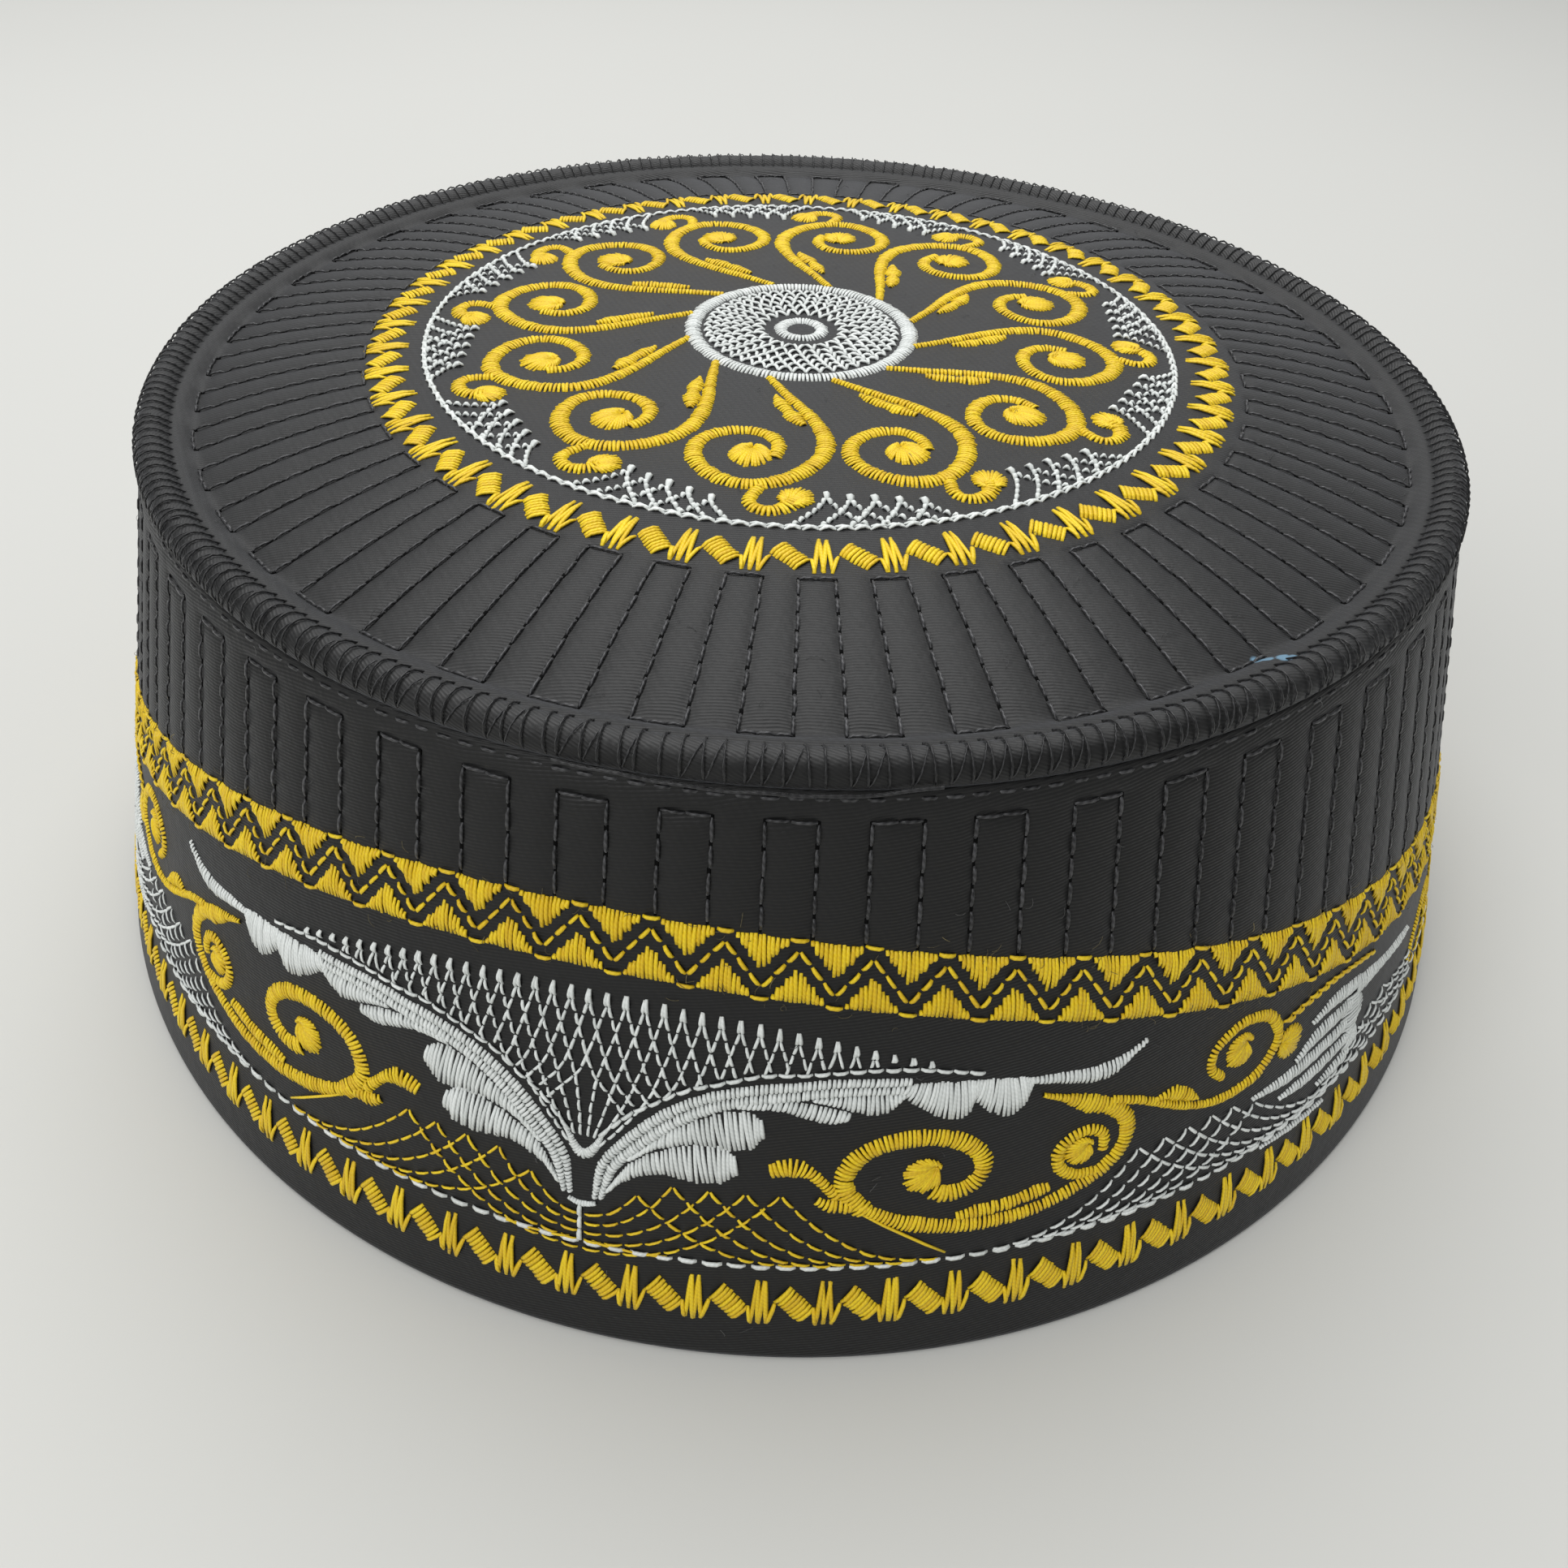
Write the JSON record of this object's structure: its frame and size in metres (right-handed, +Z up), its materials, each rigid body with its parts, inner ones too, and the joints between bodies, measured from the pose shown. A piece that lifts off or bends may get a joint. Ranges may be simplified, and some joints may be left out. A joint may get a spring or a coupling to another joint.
{
  "type": "kufi",
  "caption": "Stiff round cap with a gently domed quilted crown, a rolled rim seam and a flared side wall with a wavy stitched border; open below for the head.",
  "frame": {"origin": "middle of the circle on which the cap rests, on the table plane", "axes": "+Z up through the crown's middle, -Y towards the cap's front"},
  "size_m": [0.1946, 0.1946, 0.0726],
  "materials": {
    "black_satin": "black satin twill, quilted, soft sheen",
    "black_thread": "twisted black sewing thread",
    "gold_thread": "glossy yellow embroidery thread in satin stitch",
    "white_thread": "white embroidery thread in satin and running stitch"
  },
  "bodies": {
    "root": {"crown_panel": "black_satin", "rim_welt": "black_thread", "side_wall": "black_satin"}
  },
  "joints": []
}
